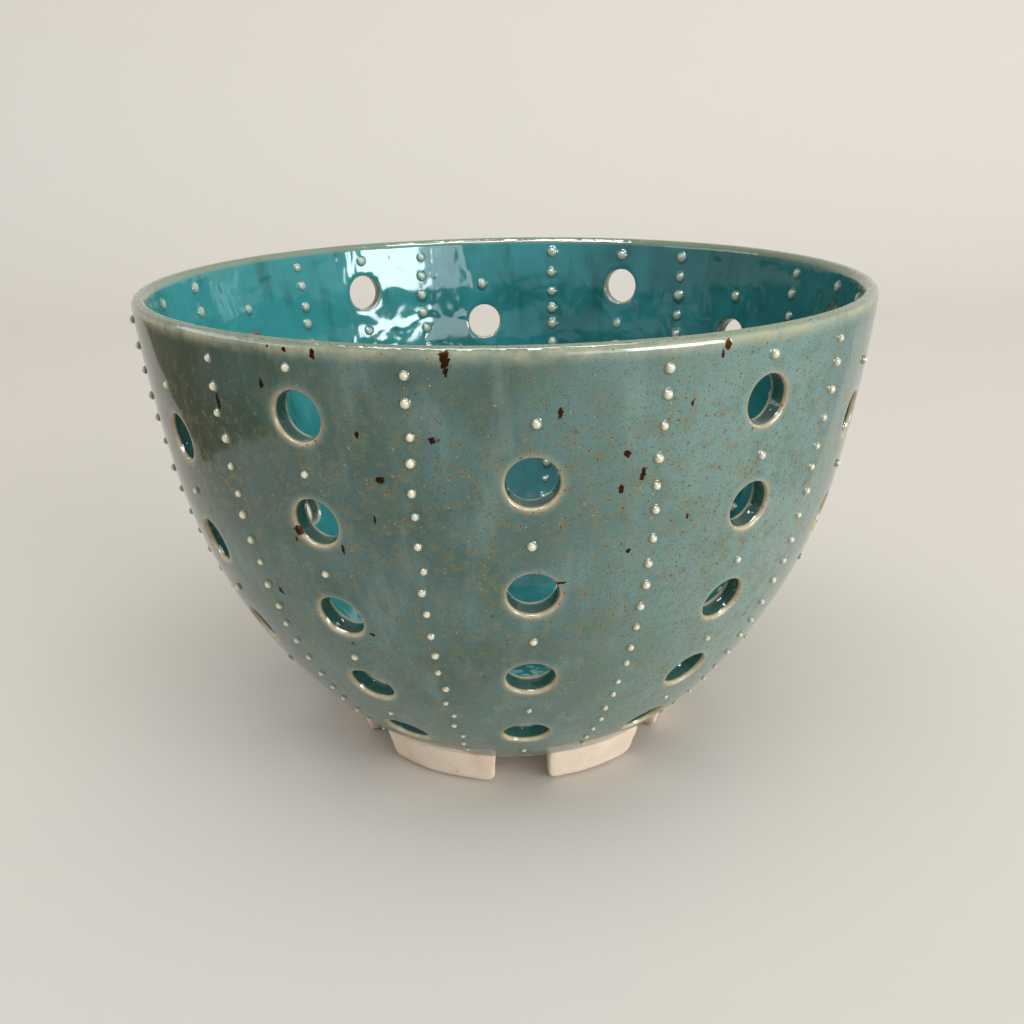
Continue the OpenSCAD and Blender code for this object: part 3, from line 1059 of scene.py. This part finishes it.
# %% Six sponged feet
FOOT_SINK = 1.2 * MM
FOOT_VOXEL = 0.5 * MM
FOOT_TOP = FOOT_H - 0.2 * MM
SPONGE_PASSES = 14
SPONGE_LUMP = 5 * MM
SPONGE_DEPTH = 0.18 * MM
foot_nodes = sorted(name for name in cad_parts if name.startswith("foot_"))
for node in foot_nodes:
    work = merged_copy(node)
    for vert in work.verts:
        if vert.co.z > FOOT_TOP:
            vert.co.z += FOOT_SINK
    mesh = bpy.data.meshes.new("sponged_" + node)
    work.to_mesh(mesh)
    work.free()
    block = linked("sponged_" + node, mesh)
    remesh = block.modifiers.new("even", "REMESH")
    remesh.mode = "VOXEL"
    remesh.voxel_size = FOOT_VOXEL
    soften = block.modifiers.new("sponge", "SMOOTH")
    soften.iterations = SPONGE_PASSES
    graph = bpy.context.evaluated_depsgraph_get()
    mesh = bpy.data.meshes.new_from_object(block.evaluated_get(graph), depsgraph=graph)
    bpy.data.objects.remove(block)
    for vert in mesh.vertices:
        vert.co += vert.normal * noise.noise(vert.co / SPONGE_LUMP) * SPONGE_DEPTH
        vert.co.z = max(vert.co.z, 0.0)
    mesh.shade_smooth()
    mesh.materials.append(clay)
    foot = linked("sponged_" + node, mesh)
    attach(foot, "root")
    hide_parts(node)
print("feet:", len(foot_nodes), "of about", len(mesh.polygons), "faces")

# %% [markdown]
# ## Light and camera
# The bowl stands on a pale floor that curves up into a backdrop. A soft window on the right and a
# ceiling light it, and a low lamp reaches the feet. A glaze shows what it mirrors, so plain cards
# stand round it that only reflections see: a front window with its curtain and a left one for the
# inside, a high one for the lip and the beads, and a table on each side for the flanks, brown on
# the left and grey on the right. The camera is where the photograph's was.


# %% Floor and backdrop
def plain_material(name, colour, roughness):
    material, _, surface = new_material(name)
    surface.inputs["Base Color"].default_value = colour
    surface.inputs["Roughness"].default_value = roughness
    return material


FLOOR_PALE = paint("d4cdc3")
STAGE_HALF = 2.5
BEND_START = 0.55
BEND_R = 0.35
BEND_TURNS = np.linspace(0, math.pi / 2, 17)
bend = [(BEND_START + BEND_R * math.sin(turn), BEND_R - BEND_R * math.cos(turn))
        for turn in BEND_TURNS]
stage_line = [(-STAGE_HALF, 0.0)] + bend + [(BEND_START + BEND_R, STAGE_HALF)]
backdrop = Draft()
left = backdrop.add([(-STAGE_HALF, y, z) for y, z in stage_line])
right = backdrop.add([(STAGE_HALF, y, z) for y, z in stage_line])
for k in range(len(stage_line) - 1):
    backdrop.faces.append((left[k], right[k], right[k + 1], left[k + 1]))
floor = backdrop.to_object("floor")
floor.data.materials.append(plain_material("pale_floor", FLOOR_PALE, 0.9))
floor.data.shade_smooth()


# %% Lamps
def soft_light(name, place, aim, width, height, power):
    lamp = bpy.data.lights.new(name, "AREA")
    lamp.shape = "RECTANGLE"
    lamp.size = width
    lamp.size_y = height
    lamp.energy = power
    light = linked(name, lamp)
    light.location = place
    light.rotation_euler = (Vector(aim) - Vector(place)).to_track_quat("-Z", "Y").to_euler()
    light.visible_glossy = False


soft_light("window", (1.95, -1.8, 0.82), (0, 0, 0.06), 2.2, 1.5, 32.5)
soft_light("low_fill", (0.95, -0.55, 0.25), (0, 0, 0.02), 0.6, 0.3, 1.6)
soft_light("ceiling", (0.0, -0.4, 1.4), (0, 0, 0), 1.4, 1.2, 7.5)

ROOM_COLOUR = (0.93, 0.97, 1.0, 1.0)
ROOM_LIGHT = 0.66
world = bpy.data.worlds.new("soft_room")
world.use_nodes = True
background = world.node_tree.nodes["Background"]
background.inputs["Color"].default_value = ROOM_COLOUR
background.inputs["Strength"].default_value = ROOM_LIGHT
scene.world = world
scene.view_settings.view_transform = "Standard"


# %% Cards that only reflections see
BOARD_EDGES = 9
SEEN_FROM = 0.1


def card(name, outlines, colour, strength):
    """A board of one or more flat outlines, which shines and is seen by reflections alone."""
    shape = Draft()
    for corners in outlines:
        shape.faces.append(shape.add(corners))
    board = shape.to_object(name)
    board.data.materials.append(plain_material(name, (0, 0, 0, 1), 1.0))
    surface = board.data.materials[0].node_tree.nodes["Principled BSDF"]
    surface.inputs["Emission Color"].default_value = colour
    surface.inputs["Emission Strength"].default_value = strength
    for ray in ("camera", "diffuse", "shadow", "transmission"):
        setattr(board, "visible_" + ray, False)


def upright(first, last, low, high, far):
    """An upright board, bent round the bowl, between two azimuths and two elevations."""
    turns = np.radians(np.linspace(first, last, BOARD_EDGES))
    bottom, top = [SEEN_FROM + far * math.tan(math.radians(rise)) for rise in (low, high)]
    plan = [(far * math.sin(turn), -far * math.cos(turn)) for turn in turns]
    return [[(*a, bottom), (*b, bottom), (*b, top), (*a, top)] for a, b in zip(plan, plan[1:])]


def on_floor(plan):
    """A flat board that lies just above the floor."""
    return [[(x, y, 1 * MM) for x, y in plan]]


DAYLIGHT = (0.92, 0.97, 1.0, 1.0)
BROWN_WOOD = (1.0, 0.62, 0.25, 1.0)
card("front_window", upright(33, 62.5, -0.5, 20, 1.5), DAYLIGHT, 21.0)
card("curtain", upright(16, 33, -0.5, 20, 1.5), DAYLIGHT, 5.0)
card("left_window", upright(-112, -62, 17, 30, 1.5), DAYLIGHT, 3.5)
card("high_window", upright(-72, 64, 53, 66, 1.2), DAYLIGHT, 30.0)
dark_table = [(-0.205, -0.13), (-0.40, -0.19), (-1.2, -0.3), (-1.2, 1.3), (-0.40, 0.29),
              (-0.30, 0.133), (-0.226, 0.033), (-0.235, -0.05)]
grey_table = [(0.17, -0.06), (0.316, -0.147), (1.2, -0.6), (1.2, 1.0), (0.337, 0.182), (0.19, 0.04)]
card("dark_table", on_floor(dark_table), BROWN_WOOD, 0.16)
card("grey_table", on_floor(grey_table), DAYLIGHT, 0.4)

# %% Camera
EYE = Vector((0, -249.59, 142.41)) * MM
PITCH = math.radians(19.998)
YAW = math.radians(0.154)
ROLL = math.radians(-0.904)
SENSOR = 36
PICTURE_PX = 1024
FOCAL_PX = 1100
camera_data = bpy.data.cameras.new("camera")
camera_data.sensor_width = SENSOR
camera_data.lens = FOCAL_PX / PICTURE_PX * SENSOR
camera_data.clip_start = 10 * MM
camera = linked("camera", camera_data)
tilt = Matrix.Rotation(math.pi / 2 - PITCH, 4, "X") @ Matrix.Rotation(ROLL, 4, "Z")
camera.matrix_world = Matrix.Translation(EYE) @ Matrix.Rotation(-YAW, 4, "Z") @ tilt
scene.camera = camera
